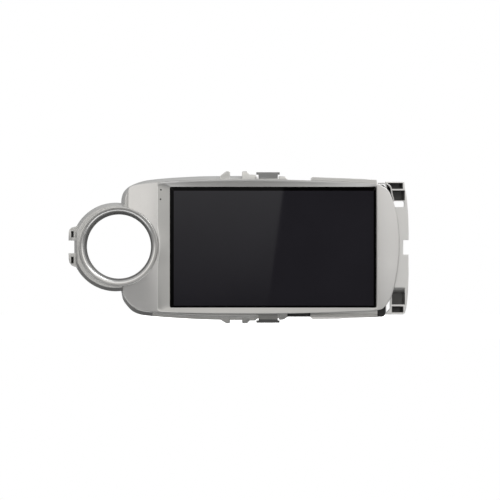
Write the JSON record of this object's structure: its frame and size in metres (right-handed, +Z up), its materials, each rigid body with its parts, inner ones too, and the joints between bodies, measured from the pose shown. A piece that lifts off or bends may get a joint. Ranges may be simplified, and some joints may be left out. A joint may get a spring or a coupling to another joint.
{
  "type": "car multimedia head unit with fascia frame",
  "caption": "In-dash touchscreen multimedia head unit in a silver fascia frame with a round air-vent collar, end flange, snap hooks and spring clips.",
  "frame": {"origin": "centre of the bounding box of the whole unit", "axes": "+X to the right as seen from the driver, away from the vent collar; +Y from the screen toward the rear sockets; +Z up"},
  "size_m": [0.3408, 0.062, 0.1526],
  "materials": {
    "silver_frame": "satin silver paint on moulded plastic",
    "silver_face": "satin silver paint on moulded plastic",
    "spring_steel": "dull spring steel",
    "cover_glass": "glossy, black printed border",
    "touch_film": "smooth",
    "lcd": "dark polariser",
    "white_plastic": "matte",
    "black_plastic": "fine texture",
    "zinc_steel": "zinc plated sheet",
    "black_screw": "black zinc",
    "circuit_board": "solder mask",
    "flex_amber": "polyimide",
    "aluminium": "extruded",
    "chip_black": "moulded epoxy",
    "tin_shield": "tinned",
    "gold_brass": "gold plated"
  },
  "bodies": {
    "head_unit": {"amplifier_ic": "chip_black", "antenna_socket": "zinc_steel", "aux_connector_a": "white_plastic", "aux_connector_b": "white_plastic", "backlight_unit": "white_plastic", "board_screw_1": "zinc_steel", "board_screw_2": "zinc_steel", "board_screw_3": "zinc_steel", "board_screw_4": "zinc_steel", "button_board": "circuit_board", "capacitor_a": "black_plastic", "capacitor_b": "black_plastic", "capacitor_c": "black_plastic", "carrier_frame": "silver_frame", "chassis_screw_1": "zinc_steel", "chassis_screw_2": "zinc_steel", "chassis_screw_3": "zinc_steel", "chassis_screw_4": "zinc_steel", "cover_glass": "cover_glass", "display_housing": "black_plastic", "display_tray": "zinc_steel", "fan_housing": "black_plastic", "fan_screw_1": "black_screw", "fan_screw_2": "black_screw", "front_bezel": "silver_face", "gps_connector": "gold_brass", "heat_spreader": "aluminium", "heatsink": "aluminium", "housing_screw_1": "zinc_steel", "housing_screw_2": "zinc_steel", "housing_screw_3": "zinc_steel", "housing_screw_4": "zinc_steel", "lcd_flex": "flex_amber", "lcd_panel": "lcd", "main_board": "circuit_board", "microphone": "aluminium", "power_choke": "chip_black", "power_connector": "black_plastic", "rear_chassis": "zinc_steel", "reset_switch": "chip_black", "soc_module": "circuit_board", "soc_shield": "tin_shield", "touch_flex": "flex_amber", "touch_sensor": "touch_film", "tuner_module": "tin_shield", "usb_header_a": "black_plastic", "usb_header_b": "black_plastic", "vent_ring": "silver_frame", "wifi_connector": "gold_brass"},
    "upper_clip_body": {"upper_clip": "spring_steel"},
    "lower_clip_body": {"lower_clip": "spring_steel"},
    "fan_body": {"fan_rotor": "black_plastic"},
    "reset_body": {"reset_button": "white_plastic"}
  },
  "joints": [
    {"name": "upper_clip_flex", "type": "hinge", "parent": "head_unit", "child": "upper_clip_body", "pos_m": [0.0297, -0.021, 0.069], "axis": [-1, 0, 0], "range_deg": [0, 8], "stiffness_Nm_per_rad": 0.8},
    {"name": "lower_clip_flex", "type": "hinge", "parent": "head_unit", "child": "lower_clip_body", "pos_m": [0.0297, -0.021, -0.0709], "axis": [1, 0, 0], "range_deg": [0, 8], "stiffness_Nm_per_rad": 0.8},
    {"name": "reset_button_press", "type": "slide", "parent": "head_unit", "child": "reset_body", "axis": [0, 1, 0], "range_m": [0, 0.0004], "stiffness_N_per_m": 200},
    {"name": "fan_spin", "type": "hinge", "parent": "head_unit", "child": "fan_body", "pos_m": [0.088, 0.021, -0.002], "axis": [0, 1, 0], "continuous": true}
  ]
}
